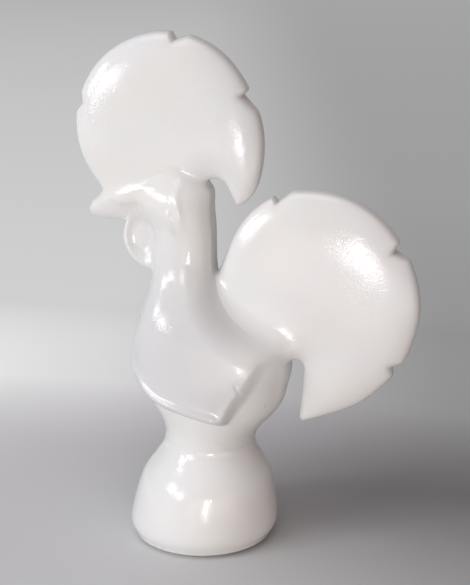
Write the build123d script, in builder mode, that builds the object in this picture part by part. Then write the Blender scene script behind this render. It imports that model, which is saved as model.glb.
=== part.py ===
from build123d import *

import os
from math import cos, degrees, radians, sin, sqrt

# A rooster ornament in glazed earthenware, luted together from thrown and press-moulded pieces.
# It stands on its foot at the origin, faces -X and spreads its tail towards +X. Its left side is -Y.
# All sizes are in millimetres.

# Foot: a thrown bell, open below, whose axis leans back to the waist
foot_rest_radius = 40.5
foot_rest_round = 4.0
foot_bulge_radius = 43.8
foot_bulge_height = 13.0
foot_shoulder_radius = 39.1
foot_shoulder_drop = 26.0
foot_throat_radius = 31.8
foot_throat_drop = 13.0
foot_wall = 6.0
waist_height = 63.0
waist_radius = 26.6
waist_setback = 4.8

# Belly: a thrown cup on the waist, squeezed oval; reaches are from the middle of the waist, and the
# curve gives shares of the height, then of the swell in front and behind
belly_height = 50.0
belly_front_reach = 42.4
belly_back_reach = 46.7
belly_half_width = 30.0
belly_wall = 6.0
belly_curve = (
    (0.0, 0.0, 0.0),
    (0.24, 0.14, 0.38),
    (0.42, 0.48, 0.74),
    (0.66, 0.84, 0.96),
    (1.0, 1.0, 1.0),
)

# Body: breast and wings lie over the belly like an apron with a point on each side
breast_relief = 3.6
wing_relief = 3.8
apron_edge = ((-46.0, 9.0), (-33.0, 20.5), (-11.0, 28.2), (14.5, 34.2))
apron_edge_round = 2.0
wing_point_round = 5.0
wing_back_setback = 37.0
wing_widest_forward = 4.0
body_wall = 6.0
seam_half_width = 7.5
seam_run_in = 2.2

# Shoulders: shares of the way from the belly rim to the foot of the neck, in height, front, back
# and width
shoulder_rise = 47.0
shoulder_curve = ((0.23, 0.15, 0.32, 0.22), (0.49, 0.44, 0.65, 0.51), (0.74, 0.79, 0.85, 0.80))

# Neck and head, level by level from the shoulders up: height over the shoulders, then the front, the
# widest place and the back measured from the middle of the waist, then half the width
neck_levels = (
    (0.0, -33.8, -11.8, 4.5, 20.5),
    (15.0, -32.3, -11.8, 3.0, 18.4),
    (30.0, -33.8, -12.8, 2.5, 17.6),
    (43.0, -41.8, -15.8, 1.8, 17.0),
    (53.0, -40.8, -17.8, 0.4, 15.5),
    (61.0, -33.8, -19.8, -7.8, 11.5),
)

# Beak, from its blunt tip to its root in the head: reach in front of the middle of the waist, height
# under the top of the head, half the height and half the width
beak_levels = (
    (70.3, 24.4, 3.7, 3.2),
    (61.8, 21.0, 8.3, 6.5),
    (49.8, 19.8, 10.8, 10.0),
    (34.8, 17.5, 13.5, 13.0),
)
beak_tip_round = 2.0

# Wattle: part of a round fin under the beak, dished on both faces
wattle_radius = 20.4
wattle_thickness = 11.0
wattle_reach = 29.4
wattle_rise = 23.0
wattle_edge_round = 2.5
wattle_dish_forward = 10.5
wattle_dish_radius = 8.0
wattle_dish_depth = 1.8

# Comb: a crowned disc that sinks into the top of the head and runs out in a hook behind the neck
comb_radius = 53.3
comb_sink = 27.7
comb_forward = 23.1
comb_start_angle = 224.6
comb_arc_end_angle = 88.0
comb_hook_curve = ((57.5, -1.0), (23.8, -2.3), (-1.6, 0.7), (-25.0, 5.3), (-41.3, 8.0))
comb_tip_setback = 16.2
comb_tip_drop = 19.5
comb_gap_setback = 4.2
comb_gap_drop = 10.2
comb_gap_start_angle = 20.0
comb_notches = ((165.6, 0.0, 0.5), (86.2, 0.0, 0.25), (23.8, -2.3, 0.15))
comb_hollow_margin = 16.0
comb_hollow_shift = (-2.5, 4.5)

# Tail: a larger disc of the same kind, let into the back; angle and swell round its rim
tail_radius = 59.5
tail_sink = 2.5
tail_rise = 39.8
tail_rim_curve = (
    (175.5, -0.6),
    (155.5, -3.4),
    (132.6, -0.2),
    (112.0, 1.8),
    (86.7, 0.9),
    (61.5, -0.3),
    (30.3, -1.5),
    (-4.3, 0.7),
    (-38.4, 4.5),
    (-70.4, 10.1),
)
tail_tip_setback = 53.2
tail_tip_drop = 38.0
tail_gap_setback = 2.2
tail_gap_drop = 3.4
tail_notches = ((114.0, 1.8, 0.1), (31.8, -1.5, 0.3), (-43.8, 5.2, 0.7))
tail_hollow_margin = 20.0
tail_hollow_shift = (5.5, 5.5)

# What comb and tail share; half thicknesses at the middle, the rim and the tip, and the curve of the
# crown in shares of the radius and of the fall from the middle to the rim
disc_crown = 12.0
disc_rim = 6.2
disc_tip = 4.2
crown_curve = ((0.55, 0.1), (0.8, 0.4), (1.0, 1.0))
crown_reach = 1.5
hollow_run_in = 1.5
disc_edge_round = 1.6
hook_tip_round = 2.5
disc_wall = 5.5
hook_gap_radius = 7.2
notch_depth = 5.0
notch_opening = 9.5

# Vents that let the hollows breathe down to the open foot while the clay is fired
vent_radius = 4.0
tail_vent_rise = 21.0

# Levels and places that follow from the sizes above
rim_height = waist_height + belly_height
shoulder_height = rim_height + shoulder_rise
head_height = shoulder_height + neck_levels[-1][0]
belly_back = waist_setback + belly_back_reach
comb_centre = (waist_setback - comb_forward, head_height + comb_radius - comb_sink)
tail_centre = (waist_setback + neck_levels[0][3] + tail_radius - tail_sink, rim_height + tail_rise)
comb_hollow_centre = (comb_centre[0] + comb_hollow_shift[0], comb_centre[1] + comb_hollow_shift[1])
tail_hollow_centre = (tail_centre[0] + tail_hollow_shift[0], tail_centre[1] + tail_hollow_shift[1])
tail_vent_height = rim_height + tail_vent_rise
waist_vent_length = 2 * (foot_wall + belly_wall)
comb_vent_length = 2 * comb_sink
tail_vent_length = tail_radius
reach = 2 * (tail_radius + belly_back_reach)

os.makedirs("parts", exist_ok=True)


def round_section(height, middle, half_length, half_width):
    """One level of a thrown form: an oval on the leaning axis."""
    with BuildSketch(Plane((middle, 0, height))) as section:
        Ellipse(half_length, half_width)
    return section.sketch


def belly_level(share, front_swell, back_swell):
    """Height, middle, half length and half width of the belly at one point of its curve."""
    height = waist_height + share * belly_height
    front = waist_radius + front_swell * (belly_front_reach - waist_radius)
    back = waist_radius + back_swell * (belly_back_reach - waist_radius)
    half_width = waist_radius + back_swell * (belly_half_width - waist_radius)
    return height, waist_setback + (back - front) / 2, (front + back) / 2, half_width


def body_section(height, front, widest, back, half_width, inset=0.0):
    """Left half of one level of the body: an oval front, a flat seam behind and the middle plane."""
    seam = seam_half_width - inset / 2
    length = widest - front - inset
    width = half_width - inset
    with BuildSketch(Plane.XY.offset(height)) as section:
        with BuildLine():
            Spline(
                (front + inset, 0),
                (widest - sqrt(0.5) * length, -sqrt(0.5) * width),
                (widest, -width),
                (back - inset, -seam),
                tangents=((0, -1), (length, -width), (1, 0), (1, seam_run_in)),
            )
            Polyline((back - inset, -seam), (back - inset, 0), (front + inset, 0))
        make_face()
    return section.sketch


def rim_point(centre, radius, angle):
    """A point round a disc, in the middle plane."""
    return (centre[0] + radius * cos(radians(angle)), centre[1] + radius * sin(radians(angle)))


def notch_cuts(centre, radius, notches):
    """The nicks in a rim: each has its root in the clay and two corners that stand clear of it."""
    with BuildSketch(Plane.XZ) as cuts:
        for angle, swell, skew in notches:
            rim = radius + swell
            opening = degrees(2 * notch_opening / rim)
            with BuildLine():
                Polyline(
                    rim_point(centre, rim - notch_depth, angle),
                    rim_point(centre, rim + notch_depth, angle + skew * opening),
                    rim_point(centre, rim + notch_depth, angle - (1 - skew) * opening),
                    close=True,
                )
            make_face()
    return cuts.sketch


def rim_edges(edges, root, centre):
    """The edges between the crowned face of a disc and its rim, not those at its root or its middle."""
    rim = []
    for edge in edges:
        ends = [Vector(v.X, v.Z) for v in edge.vertices()]
        gap = min((end - Vector(*place)).length for end in ends for place in (root, centre))
        if edge.bounding_box().max.Y < -disc_tip / 2 and gap > disc_edge_round:
            rim.append(edge)
    return rim


def disc_axis(centre):
    """The axis through the middle of a disc, square to its faces."""
    return Axis((centre[0], 0, centre[1]), (0, 1, 0))


def crown_profile(centre, radius):
    """Half the section of a disc: flat in the middle, rolling off to its rim, thin at the hook."""
    crown_fall = disc_crown - disc_rim
    with BuildSketch(Plane((centre[0], 0, centre[1]))) as profile:
        with BuildLine():
            Spline(
                (0, -disc_crown),
                *[(share * radius, fall * crown_fall - disc_crown) for share, fall in crown_curve],
                (crown_reach * radius, -disc_tip),
                tangents=((1, 0), (1, 0)),
            )
            Polyline(
                (crown_reach * radius, -disc_tip),
                (crown_reach * radius, 0),
                (0, 0),
                (0, -disc_crown),
            )
        make_face()
    return profile.sketch


def hollow_profile(centre, radius):
    """Half the section of the hollow in a disc."""
    with BuildSketch(Plane((centre[0], 0, centre[1]))) as profile:
        with BuildLine():
            Line((0, 0), (0, disc_wall - disc_crown))
            Spline((0, disc_wall - disc_crown), (radius, 0), tangents=((1, 0), (1, hollow_run_in)))
            Line((radius, 0), (0, 0))
        make_face()
    return profile.sketch


# Bell foot
foot_levels = (
    (0.0, foot_rest_radius),
    (foot_bulge_height, foot_bulge_radius),
    (waist_height - foot_shoulder_drop, foot_shoulder_radius),
    (waist_height - foot_throat_drop, foot_throat_radius),
    (waist_height, waist_radius),
)


def foot_sections(inset):
    """The foot's round levels; the hollow's levels lie one wall further in and below."""
    sections = []
    for height, radius in foot_levels:
        lowered = height * (1 - inset / waist_height)
        middle = waist_setback * height / waist_height
        sections.append(round_section(lowered, middle, radius - inset, radius - inset))
    return sections


with BuildPart() as bell_foot:
    loft(foot_sections(0.0))
    fillet(bell_foot.edges().group_by(Axis.Z)[0], foot_rest_round)
    loft(foot_sections(foot_wall), mode=Mode.SUBTRACT)
    with Locations((waist_setback, 0, waist_height)):
        Cylinder(vent_radius, waist_vent_length, mode=Mode.SUBTRACT)
bell_foot.part.label = "bell_foot"

# Belly cup; its solid form also cuts what lies against it
with BuildPart() as belly_form:
    loft([round_section(*belly_level(*row)) for row in belly_curve])

with BuildPart() as belly_cup:
    add(belly_form.part)
    hollow_sections = []
    for row in belly_curve:
        height, middle, half_length, half_width = belly_level(*row)
        raised = height + (1 - row[0]) * belly_wall
        hollow_sections.append(
            round_section(raised, middle, half_length - belly_wall, half_width - belly_wall)
        )
    loft(hollow_sections, mode=Mode.SUBTRACT)
    with Locations((waist_setback, 0, waist_height)):
        Cylinder(vent_radius, waist_vent_length, mode=Mode.SUBTRACT)
belly_cup.part.label = "belly_cup"

# Body levels: over the belly, up the shoulders, along the neck to the top of the head
apron_levels = []
for row in belly_curve[1:]:
    height, middle, half_length, half_width = belly_level(*row)
    front = middle - half_length - breast_relief
    widest = waist_setback - wing_widest_forward
    apron_levels.append((height, front, widest, middle + half_length, half_width + wing_relief))
upper_levels = []
for rise, *places, half_width in neck_levels:
    front, widest, back = [waist_setback + place for place in places]
    upper_levels.append((shoulder_height + rise, front, widest, back, half_width))
shoulder_levels = []
for rise, front, back, narrowing in shoulder_curve:
    low, high = apron_levels[-1], upper_levels[0]
    shares = (rise, front, narrowing, back, narrowing)
    shoulder_levels.append(tuple(a + s * (b - a) for a, b, s in zip(low, high, shares)))
body_levels = apron_levels + shoulder_levels + upper_levels

with BuildPart() as body_form:
    loft([body_section(*level) for level in body_levels])
    with BuildSketch(Plane.XZ) as below_apron:
        with BuildLine():
            edge = Spline(*[(waist_setback + x, rim_height - drop) for x, drop in apron_edge])
            Polyline(
                edge @ 1,
                (waist_setback + wing_back_setback, rim_height),
                (waist_setback + reach, rim_height),
                (waist_setback + reach, 0),
                (waist_setback - reach, 0),
                (waist_setback - reach, (edge @ 0).Y),
                edge @ 0,
            )
        make_face()
        fillet(below_apron.vertices().sort_by_distance(edge @ 1)[0], wing_point_round)
    extrude(amount=reach, both=True, mode=Mode.SUBTRACT)
    side_edges = body_form.edges().filter_by(lambda edge: edge.center().Y < -seam_half_width)
    low_edges = side_edges.filter_by(lambda edge: edge.center().Z < rim_height - apron_edge_round)
    fillet(low_edges.filter_by(GeomType.BSPLINE), apron_edge_round)
    add(belly_form.part, mode=Mode.SUBTRACT)

with BuildPart() as left_body_half:
    add(body_form.part)
    hollow_levels = apron_levels[-1:] + shoulder_levels + upper_levels[:-2]
    loft([body_section(*level, inset=body_wall) for level in hollow_levels], mode=Mode.SUBTRACT)
    with Locations((comb_hollow_centre[0], 0, head_height)):
        Cylinder(vent_radius, comb_vent_length, mode=Mode.SUBTRACT)
    with Locations((belly_back, 0, tail_vent_height)):
        Cylinder(vent_radius, tail_vent_length, rotation=(0, 90, 0), mode=Mode.SUBTRACT)
left_body_half.part.label = "left_body_half"

with BuildPart() as right_body_half:
    mirror(left_body_half.part, about=Plane.XZ)
right_body_half.part.label = "right_body_half"

# The two body forms together, which cut the pieces that are luted onto them
with BuildPart() as whole_body_form:
    add(body_form.part)
    mirror(body_form.part, about=Plane.XZ)

# Beak
with BuildPart() as beak:
    beak_sections = []
    for forward, drop, half_height, half_width in beak_levels:
        root = Plane((waist_setback - forward, 0, head_height - drop), (0, 1, 0), (-1, 0, 0))
        with BuildSketch(root) as section:
            Ellipse(half_width, half_height)
        beak_sections.append(section.sketch)
    loft(beak_sections)
    fillet(beak.faces().sort_by(Axis.X)[0].edges(), beak_tip_round)
    add(whole_body_form.part, mode=Mode.SUBTRACT)
beak.part.label = "beak"

# Wattle
with BuildPart() as wattle:
    wattle_middle = (waist_setback - wattle_reach, shoulder_height + wattle_rise)
    with BuildSketch(Plane.XZ) as wattle_outline:
        with Locations(wattle_middle):
            Circle(wattle_radius)
    extrude(amount=wattle_thickness / 2, both=True)
    fillet(wattle.edges(), wattle_edge_round)
    dish_ball = (wattle_dish_radius**2 + wattle_dish_depth**2) / (2 * wattle_dish_depth)
    dish_offset = wattle_thickness / 2 - wattle_dish_depth + dish_ball
    for side in (-1, 1):
        with Locations((wattle_middle[0] - wattle_dish_forward, side * dish_offset, wattle_middle[1])):
            Sphere(dish_ball, mode=Mode.SUBTRACT)
    add(whole_body_form.part, mode=Mode.SUBTRACT)
    add(beak.part, mode=Mode.SUBTRACT)
wattle.part.label = "wattle"

# Comb
comb_tip = (waist_setback + comb_tip_setback, head_height - comb_tip_drop)
comb_gap = (waist_setback + comb_gap_setback, head_height - comb_gap_drop)
comb_root = (waist_setback - beak_levels[2][0], comb_gap[1] - hook_gap_radius)
with BuildSketch(Plane.XZ) as comb_outline:
    with BuildLine():
        comb_arc = ThreePointArc(
            rim_point(comb_centre, comb_radius, comb_start_angle),
            rim_point(comb_centre, comb_radius, (comb_start_angle + comb_arc_end_angle) / 2),
            rim_point(comb_centre, comb_radius, comb_arc_end_angle),
        )
        comb_hook = Spline(
            comb_arc @ 1,
            *[rim_point(comb_centre, comb_radius + swell, angle) for angle, swell in comb_hook_curve],
            comb_tip,
        )
        comb_gap_arc = ThreePointArc(
            rim_point(comb_gap, hook_gap_radius, comb_gap_start_angle),
            rim_point(comb_gap, hook_gap_radius, 90),
            rim_point(comb_gap, hook_gap_radius, 180),
        )
        Line(comb_tip, comb_gap_arc @ 0)
        Polyline(comb_gap_arc @ 1, comb_root, comb_arc @ 0)
    make_face()
    fillet(comb_outline.vertices().sort_by_distance(comb_tip)[0], hook_tip_round)

with BuildPart() as left_comb_half:
    extrude(comb_outline.sketch, amount=disc_crown)
    revolve(crown_profile(comb_centre, comb_radius), disc_axis(comb_centre), mode=Mode.INTERSECT)
    fillet(rim_edges(left_comb_half.edges(), comb_root, comb_centre), disc_edge_round)
    extrude(notch_cuts(comb_centre, comb_radius, comb_notches), amount=disc_crown, mode=Mode.SUBTRACT)
    revolve(
        hollow_profile(comb_hollow_centre, comb_radius - comb_hollow_margin),
        disc_axis(comb_hollow_centre),
        mode=Mode.SUBTRACT,
    )
    with Locations((comb_hollow_centre[0], 0, head_height)):
        Cylinder(vent_radius, comb_vent_length, mode=Mode.SUBTRACT)
    add(body_form.part, mode=Mode.SUBTRACT)
    add(beak.part, mode=Mode.SUBTRACT)
left_comb_half.part.label = "left_comb_half"

with BuildPart() as right_comb_half:
    mirror(left_comb_half.part, about=Plane.XZ)
right_comb_half.part.label = "right_comb_half"

# Tail
tail_tip = (waist_setback + tail_tip_setback, rim_height - tail_tip_drop)
tail_gap = (belly_back + tail_gap_setback, rim_height - tail_gap_drop)
tail_root = (waist_setback, shoulder_height - shoulder_rise / 2)
with BuildSketch(Plane.XZ) as tail_outline:
    with BuildLine():
        tail_rim = Spline(
            *[rim_point(tail_centre, tail_radius + swell, angle) for angle, swell in tail_rim_curve],
            tail_tip,
        )
        tail_gap_arc = ThreePointArc(
            rim_point(tail_gap, hook_gap_radius, 0),
            rim_point(tail_gap, hook_gap_radius, 90),
            rim_point(tail_gap, hook_gap_radius, 180),
        )
        Line(tail_tip, tail_gap_arc @ 0)
        Polyline(tail_gap_arc @ 1, tail_root, tail_rim @ 0)
    make_face()
    fillet(tail_outline.vertices().sort_by_distance(tail_tip)[0], hook_tip_round)

with BuildPart() as left_tail_half:
    extrude(tail_outline.sketch, amount=disc_crown)
    revolve(crown_profile(tail_centre, tail_radius), disc_axis(tail_centre), mode=Mode.INTERSECT)
    fillet(rim_edges(left_tail_half.edges(), tail_root, tail_centre), disc_edge_round)
    extrude(notch_cuts(tail_centre, tail_radius, tail_notches), amount=disc_crown, mode=Mode.SUBTRACT)
    revolve(
        hollow_profile(tail_hollow_centre, tail_radius - tail_hollow_margin),
        disc_axis(tail_hollow_centre),
        mode=Mode.SUBTRACT,
    )
    with Locations((belly_back, 0, tail_vent_height)):
        Cylinder(vent_radius, tail_vent_length, rotation=(0, 90, 0), mode=Mode.SUBTRACT)
    add(body_form.part, mode=Mode.SUBTRACT)
    add(belly_form.part, mode=Mode.SUBTRACT)
left_tail_half.part.label = "left_tail_half"

with BuildPart() as right_tail_half:
    mirror(left_tail_half.part, about=Plane.XZ)
right_tail_half.part.label = "right_tail_half"

for piece in (
    bell_foot,
    belly_cup,
    left_body_half,
    right_body_half,
    left_comb_half,
    right_comb_half,
    left_tail_half,
    right_tail_half,
    beak,
    wattle,
):
    export_step(piece.part, f"parts/{piece.part.label}.step")
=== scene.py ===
from functools import lru_cache

import bpy
import numpy as np
from bpy.props import FloatProperty, FloatVectorProperty, IntProperty, PointerProperty
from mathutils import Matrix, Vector


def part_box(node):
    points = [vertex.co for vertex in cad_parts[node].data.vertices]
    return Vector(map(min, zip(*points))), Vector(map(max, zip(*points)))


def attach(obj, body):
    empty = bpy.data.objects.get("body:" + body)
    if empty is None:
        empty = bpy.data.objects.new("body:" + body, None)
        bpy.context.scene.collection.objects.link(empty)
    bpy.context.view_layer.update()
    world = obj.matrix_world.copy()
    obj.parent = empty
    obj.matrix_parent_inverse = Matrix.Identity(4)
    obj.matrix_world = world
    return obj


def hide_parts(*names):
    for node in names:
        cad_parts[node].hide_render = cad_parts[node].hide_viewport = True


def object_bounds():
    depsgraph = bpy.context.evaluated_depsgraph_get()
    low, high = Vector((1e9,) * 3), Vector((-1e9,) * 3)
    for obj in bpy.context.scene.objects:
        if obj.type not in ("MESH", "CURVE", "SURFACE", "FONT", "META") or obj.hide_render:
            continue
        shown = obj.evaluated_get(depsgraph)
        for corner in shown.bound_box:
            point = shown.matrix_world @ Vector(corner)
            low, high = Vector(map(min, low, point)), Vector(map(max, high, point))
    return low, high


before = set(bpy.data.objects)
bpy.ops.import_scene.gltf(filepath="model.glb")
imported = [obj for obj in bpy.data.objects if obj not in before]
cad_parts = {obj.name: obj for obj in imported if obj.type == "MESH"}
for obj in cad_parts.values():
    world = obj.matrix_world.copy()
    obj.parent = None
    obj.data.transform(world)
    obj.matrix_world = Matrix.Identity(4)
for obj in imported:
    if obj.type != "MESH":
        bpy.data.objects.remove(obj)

bl_info = {
    "name": "White rooster ornament",
    "version": (1, 0, 0),
    "blender": (4, 5, 0),
    "location": "View3D > Sidebar > Rooster",
    "description": "Builds a glazed earthenware rooster from its thrown and press-moulded pieces",
    "category": "Object",
}

CAD_BOX = [list(corner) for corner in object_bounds()]
MM = 0.001

# The tables below are in millimetres in the frame of the solids: +Z is up, the bird faces -X and its
# left side is -Y.
WAIST_X = 4.8
WAIST_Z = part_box("bell_foot")[1].z / MM

# Belly, body, neck and head level by level: height, front, widest place, back, half width, half width
# of the flat seam behind, and the roundness of the front and the back quarter, where 2 is an oval
CORE_LEVELS = (
    (57.0, -23.6, 4.6, 32.6, 28.2, 0.0, 2.0, 2.0),
    (63.0, -21.8, 4.8, 31.4, 26.6, 0.0, 2.0, 2.0),
    (75.0, -24.0, 7.5, 39.0, 27.9, 0.0, 2.0, 2.0),
    (84.0, -29.4, 8.4, 46.3, 29.1, 0.0, 2.1, 2.0),
    (96.0, -35.1, 10.5, 50.7, 29.8, 0.0, 2.3, 2.0),
    (113.0, -37.6, 20.0, 51.5, 29.8, 2.0, 2.7, 2.2),
    (123.8, -36.8, 14.0, 40.5, 29.4, 4.0, 2.9, 2.2),
    (136.0, -34.6, 1.0, 21.5, 28.0, 6.0, 3.0, 2.0),
    (147.8, -31.4, -4.4, 12.0, 24.6, 7.0, 3.0, 1.85),
    (160.0, -29.0, -5.8, 8.6, 19.2, 7.5, 2.6, 1.75),
    (175.0, -27.5, -6.4, 7.8, 16.9, 7.5, 2.3, 1.7),
    (190.0, -29.0, -7.6, 7.3, 17.7, 7.5, 2.0, 1.65),
    (203.0, -37.0, -9.8, 6.6, 18.3, 7.0, 2.0, 1.65),
    (213.0, -36.0, -11.5, 5.2, 16.0, 5.0, 2.0, 1.8),
    (221.0, -29.0, -15.0, -3.0, 11.5, 2.0, 2.0, 2.0),
    (227.0, -25.0, -15.0, -7.0, 7.5, 0.0, 2.0, 2.0),
    (232.0, -21.0, -15.0, -10.0, 3.5, 0.0, 2.0, 2.0),
)

# How far breast and wings stand out of that core, by height, and the lower edge of the apron they form
APRON_RELIEF = (
    (57.0, 3.7), (113.0, 3.7), (123.8, 2.6), (136.0, 1.2), (147.8, 0.4), (160.0, 0.0), (175.0, 0.0),
)
APRON_EDGE = ((-60.0, 111.0), (-41.2, 104.0), (-28.2, 92.5), (-6.2, 84.8), (19.3, 78.8))
WING_BACK = (41.8, 113.0)
# Where the apron's form changes, from nothing to all of it. Across its edge: the slope of a wing's edge.
# Along X: from the rolled edge of the breast to the sloped one of a wing, the relief's fading behind and
# in front, and the start of the flare. By height: where that fading sets in.
WING_SLOPE = (-2.0, 7.0)
WING_TURN = (12.0, 26.0)
BACK_FADE = (46.8, 31.8)
FRONT_FADE = (-46.0, -26.0)
FLARE_START = (-44.0, -28.0)
FADE_TOP = (127.0, 111.0)
# Share of the relief that stays in front, and how far inside the edge the flare is highest, and its spread
FRONT_SHARE = 0.55
FLARE_PLACE = 2.0
FLARE_SPREAD = 4.2
# Points along the apron's edge, those that its last corner is rounded over, and places far outside the bird
APRON_POINTS = 60
POINT_ARM = 5
FAR_FRONT, FAR_BACK, FAR_UP = -150.0, 200.0, 400.0

# Folds that stand up on cheek and neck, and a nick of the modelling tool in the wing: points in the side
# view, height and width
FOLDS = (
    (((-10.9, 215.0), (-10.4, 207.0), (-9.4, 200.0), (-8.0, 193.0)), 0.9, 2.4),
    (((-15.6, 200.0), (-14.2, 194.0), (-12.2, 188.0)), 1.2, 1.6),
    (((-6.2, 170.0), (-5.4, 164.0), (-5.0, 158.0)), 0.4, 2.4),
    (((25.9, 106.0), (27.0, 103.0), (28.4, 100.0)), -0.7, 1.0),
)
# Points along a fold, how blunt its ends are, and the distance from the seam over which folds set in
FOLD_POINTS = 12
FOLD_END = 0.04
FOLD_FADE = (5.0, 11.0)

# Comb and tail discs: middle, radius, rim as angle and swell, hook tip, gap inside the hook, where the
# disc runs on inside its neighbour, and the nicks in the rim as angle, swell, skew and depth
COMB = {
    "middle": (-18.3, 246.6),
    "radius": 53.3,
    "rim": (
        (224.6, 0.0), (202.0, 0.0), (179.0, 0.0), (156.0, 0.0), (133.0, 0.0), (110.5, 0.0), (88.0, 0.0),
        (57.5, -1.0), (23.8, -2.3), (-1.6, 0.7), (-25.0, 5.3), (-41.3, 8.0),
    ),
    "tip": (21.0, 201.5),
    "gap": (9.0, 210.8),
    "gap_start": 20.0,
    "root": (-45.0, 203.6),
    "run_on": ((1.8, 140.0), (-70.0, 140.0)),
    "nicks": ((165.6, 0.0, 0.5, 3.0), (84.8, 0.0, 0.25, 4.6), (23.8, -2.3, 0.15, 4.8)),
}
TAIL = {
    "middle": (66.3, 152.8),
    "radius": 59.5,
    "rim": (
        (175.5, -0.6), (155.5, -3.4), (132.6, -0.2), (112.0, 1.8), (86.7, 0.9), (61.5, -0.3), (30.3, -1.5),
        (-4.3, 0.7), (-38.4, 4.5), (-70.4, 10.1),
    ),
    "tip": (58.0, 75.0),
    "gap": (53.7, 109.6),
    "gap_start": 0.0,
    "root": (4.8, 136.5),
    "run_on": ((20.0, 70.0), (-60.0, 120.0)),
    "nicks": ((112.6, 1.8, 0.1, 4.0), (31.8, -1.5, 0.3, 5.6), (-41.8, 5.2, 0.7, 4.8)),
}
# Where the tail swells to meet the body: place in the side view, height and spread
TAIL_SWELL = ((44.0, 115.0), 6.0, 13.0)
HOOK_GAP_RADIUS = 7.2
HOOK_TIP_ROUND = 2.5
NICK_ROUND = 1.6
# Half the thickness of a disc against the distance from its middle in shares of its radius
DISC_CROWN = ((0.0, 12.0), (0.5, 11.5), (0.75, 10.2), (0.88, 8.5), (1.0, 5.8), (1.5, 4.0), (2.0, 4.0))
# Points along rim and hook gap, those that the tip of the hook is rounded over, and reach and spread, in
# points of the side view, of what softens the crown
RIM_POINTS = 200
GAP_POINTS = 24
TIP_ARM = 8
SOFT_REACH = 24
SOFT_SPREAD = 9

# Beak from its tip into the head: place along X, height of its side ridge, reach above and below the
# ridge, half width; then the roundness of its section, and the rounding of its tip and its back
BEAK_LEVELS = (
    (-67.0, 196.8, 2.6, 3.9, 2.8),
    (-65.5, 197.3, 3.0, 4.4, 3.2),
    (-57.0, 202.6, 5.7, 10.9, 6.5),
    (-45.0, 207.2, 4.9, 16.8, 9.6),
    (-30.0, 212.0, 5.0, 22.0, 10.8),
    (-12.0, 213.0, 5.0, 23.0, 10.0),
)
BEAK_ROUNDNESS = 1.6
BEAK_TIP_ROUND = 5.0
BEAK_BACK_ROUND = 2.0
# Wattle: middle and radius of its fin, half its thickness and the rounding of its rim; then the dish in its
# face: middle, half width, how much taller than wide it is, depth, and steepness of its sides
WATTLE_MIDDLE = (-24.6, 183.0)
WATTLE_RADIUS = 20.4
WATTLE_HALF = 7.8
WATTLE_ROUND = 5.0
DISH_MIDDLE = (-34.0, 184.0)
DISH_HALF = 9.0
DISH_STRETCH = 1.6
DISH_DEPTH = 3.6
DISH_STEEPNESS = 4

# How widely the slip fills the crease between body and tail, by height
TAIL_CREASE = (
    (63.0, 4.0), (106.0, 6.0), (112.0, 13.0), (120.0, 24.0), (130.0, 28.0), (138.0, 26.0), (146.0, 20.0),
    (152.0, 13.0), (158.0, 8.0), (166.0, 5.0), (180.0, 4.0),
)

# Waviness of handwork: seed and number of waves, their length, how much their starts differ, and the width
# that stretches them across the bird
WAVE_SEED = 7
WAVE_COUNT = 6
WAVE_LENGTH = 12
WAVE_SHIFT = 9
WAVE_WIDTH = 30

# Pitch and reach of the side views, and for the grid of the skin the room round the solids' box and half
# its width
PLATE_PITCH = 0.5
PLATE_X = np.arange(-80.0, 140.0, PLATE_PITCH)
PLATE_Z = np.arange(50.0, 312.0, PLATE_PITCH)
GRID_MARGIN = 3
GRID_HALF_WIDTH = 38
# How points settle on the skin: turns, longest move, how far they even out, and the step that measures the
# skin's slope; and how near the end of an edge, in shares of it, a cut goes through the end itself
SETTLE_TURNS = 5
SETTLE_REACH = 0.6
EVEN_OUT = 0.5
SLOPE_STEP = 0.3
SNAP = 0.15
# Walls of the shells: the thinnest, the share of a depth that has to be clay, the depths that are tried in
# shares of the full wall, and the turns that even them out
THIN_WALL = 0.8
CLAY_SHARE = 0.9
WALL_TRIES = np.linspace(0.2, 1, 6)
WALL_TURNS = 4
# Columns of the rows that the skin's points are kept in: place, outward direction, wall, and from there on
# the distances from the lines between the pieces
PLACE, OUTWARD, WALL = slice(0, 3), slice(3, 6), slice(6, 7)
FIRST_LINE = 7
# Points of the arc that rounds a corner of an outline, and the square of a side of it that counts as none
ARC_POINTS = 9
NO_LENGTH = 1e-12
# How near the seam a point lies on it, and what keeps a division from zero
SEAM_REACH = 1e-6
TINY = 1e-9

# Steps of the bell's curves between levels, how near its points are welded, and from which turn, in radians,
# its edges are sharp
CURVE_STEPS = 12
WELD = 0.01
SHARP_ANGLE = 0.7

# Glaze: width of its clouding; where the greyer pool, partly painted shade, sets in, along X and by height;
# width of the cells that may hold a speck, the share of them that holds none, the speck's soft edge in shares
# of a cell, and its strength; width and depth of the slow roll; and its index of refraction
CLOUD_WIDTH = 35
POOL_AND_SHADE_BACK = (40, 12)
POOL_AND_SHADE_TOP = (220, 120)
SPECK_CELL = 14
SPECK_FREE = 0.84
SPECK_EDGE = (0.02, 0.055)
SPECK_STRENGTH = 0.55
ROLL_WIDTH = 7
ROLL_DEPTH = 0.06
GLAZE_IOR = 1.52

# Where camera and lamps look, in metres
AIM = Vector((0.01956, 0.0, 0.15088))
# Camera: degrees from the bird's left towards its tail, degrees up and distance in metres; lens in mm
CAMERA_PLACE = (11.0, 16.906, 0.9)
CAMERA_LENS = 96.24
# Lamps: name, place as for the camera, width and height in metres, power in watts and colour
LAMPS = (
    ("window_left", (-56.0, 17.0, 1.2), (0.25, 0.3), 2.7, "F8FAFF"),
    ("window_near", (-38.0, 10.0, 1.2), (0.32, 0.26), 2.6, "F8FAFF"),
    ("lamp_front", (9.5, -6.0, 0.73), (0.1, 0.1), 0.6, "FFFFFF"),
    ("ceiling", (-20.0, 66.0, 1.3), (1.0, 0.8), 4.4, "FCFDFF"),
    ("bounce_card", (20.0, -15.0, 0.45), (0.7, 0.2), 0.56, "FFEADD"),
)
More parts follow.
